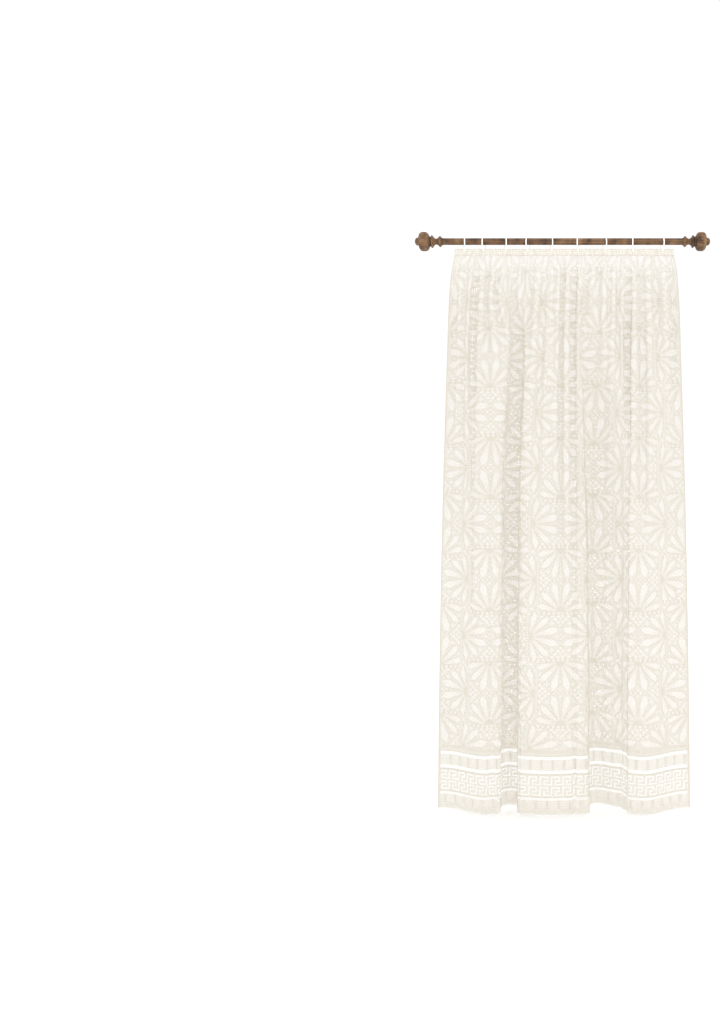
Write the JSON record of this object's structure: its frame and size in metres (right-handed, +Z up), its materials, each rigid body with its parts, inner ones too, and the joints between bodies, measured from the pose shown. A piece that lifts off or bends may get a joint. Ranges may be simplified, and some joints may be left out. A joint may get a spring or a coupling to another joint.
{
  "type": "gathered curtain panel on a wooden rod with rings",
  "caption": "Cream lace curtain panel gathered into a narrow heading, hung by rings from a wooden rod with turned finials.",
  "frame": {"origin": "middle of the rod's axis", "axes": "+X along the rod to the viewer's right, +Y away from the viewer towards the wall, +Z up"},
  "size_m": [1.272, 0.1605, 2.4837],
  "materials": {
    "wood": "stained and waxed, satin",
    "ring": "smooth, white",
    "lace": "cream knitted lace, matt"
  },
  "bodies": {
    "root": {"pole": "wood", "finial_left": "wood", "finial_right": "wood", "ring_1": "ring", "ring_2": "ring", "ring_3": "ring", "ring_4": "ring", "ring_5": "ring", "ring_6": "ring", "ring_7": "ring", "ring_8": "ring", "ring_9": "ring", "heading_band": "lace", "curtain_panel": "lace"}
  },
  "joints": []
}
